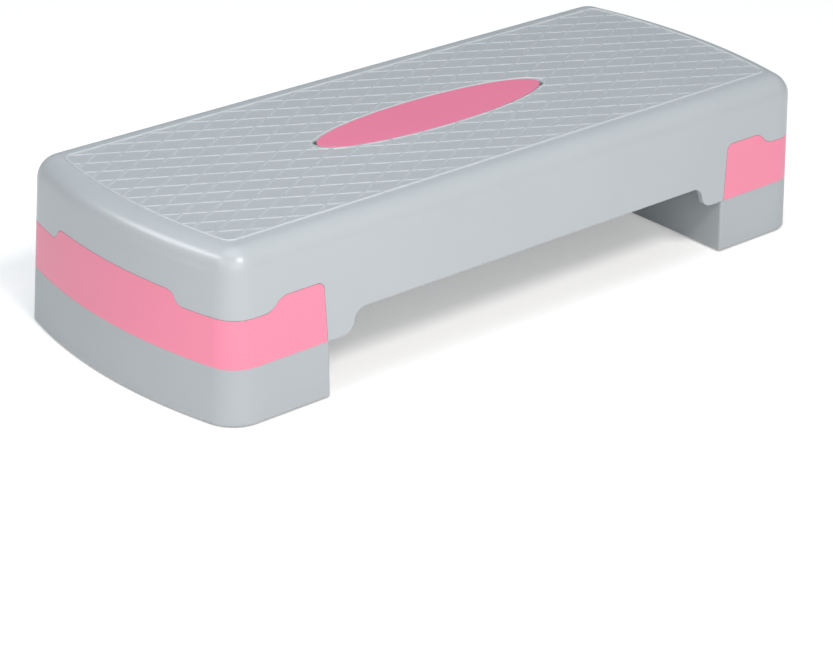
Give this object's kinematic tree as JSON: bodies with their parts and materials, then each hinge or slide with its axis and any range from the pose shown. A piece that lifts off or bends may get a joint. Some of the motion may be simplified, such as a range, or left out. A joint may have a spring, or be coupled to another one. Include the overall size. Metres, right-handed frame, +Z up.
{
  "type": "aerobic step platform",
  "caption": "Aerobic step: a moulded deck with a diamond tread, oval badge and wrapped end skirts that lifts off its ribbed risers.",
  "frame": {"origin": "on the floor under the middle of the deck", "axes": "+Z up, +X along the deck's length, +Y across its width"},
  "size_m": [0.7046, 0.2846, 0.1484],
  "materials": {
    "deck_plastic": "satin moulded polypropylene",
    "badge_plastic": "smooth moulded ABS",
    "skirt_plastic": "satin moulded polypropylene",
    "sleeve_plastic": "satin moulded polypropylene",
    "frame_plastic": "satin moulded polypropylene",
    "screw_steel": "zinc plated",
    "foot_rubber": "matt"
  },
  "bodies": {
    "left_riser": {"left_riser_sleeve": "sleeve_plastic", "left_riser_frame": "frame_plastic", "left_riser_screw_front": "screw_steel", "left_riser_screw_back": "screw_steel", "left_foot_inner_front": "foot_rubber", "left_foot_inner_back": "foot_rubber", "left_foot_outer_front": "foot_rubber", "left_foot_outer_back": "foot_rubber"},
    "platform": {"deck_shell": "deck_plastic", "oval_badge": "badge_plastic", "left_skirt": "skirt_plastic", "right_skirt": "skirt_plastic", "left_skirt_screw_end_front": "screw_steel", "left_skirt_screw_end_back": "screw_steel", "left_skirt_screw_side_front": "screw_steel", "left_skirt_screw_side_back": "screw_steel", "right_skirt_screw_end_front": "screw_steel", "right_skirt_screw_end_back": "screw_steel", "right_skirt_screw_side_front": "screw_steel", "right_skirt_screw_side_back": "screw_steel"},
    "right_riser": {"right_riser_sleeve": "sleeve_plastic", "right_riser_frame": "frame_plastic", "right_riser_screw_front": "screw_steel", "right_riser_screw_back": "screw_steel", "right_foot_inner_front": "foot_rubber", "right_foot_inner_back": "foot_rubber", "right_foot_outer_front": "foot_rubber", "right_foot_outer_back": "foot_rubber"}
  },
  "joints": [
    {"name": "platform_lift", "type": "slide", "parent": "left_riser", "child": "platform", "axis": [0, 0, 1], "range_m": [0, 0.09]},
    {"name": "right_riser_release", "type": "slide", "parent": "platform", "child": "right_riser", "axis": [0, 0, -1], "range_m": [0, 0.09]}
  ],
  "couplings": [
    {"joint": "right_riser_release", "follows": "platform_lift", "ratio": 1}
  ]
}
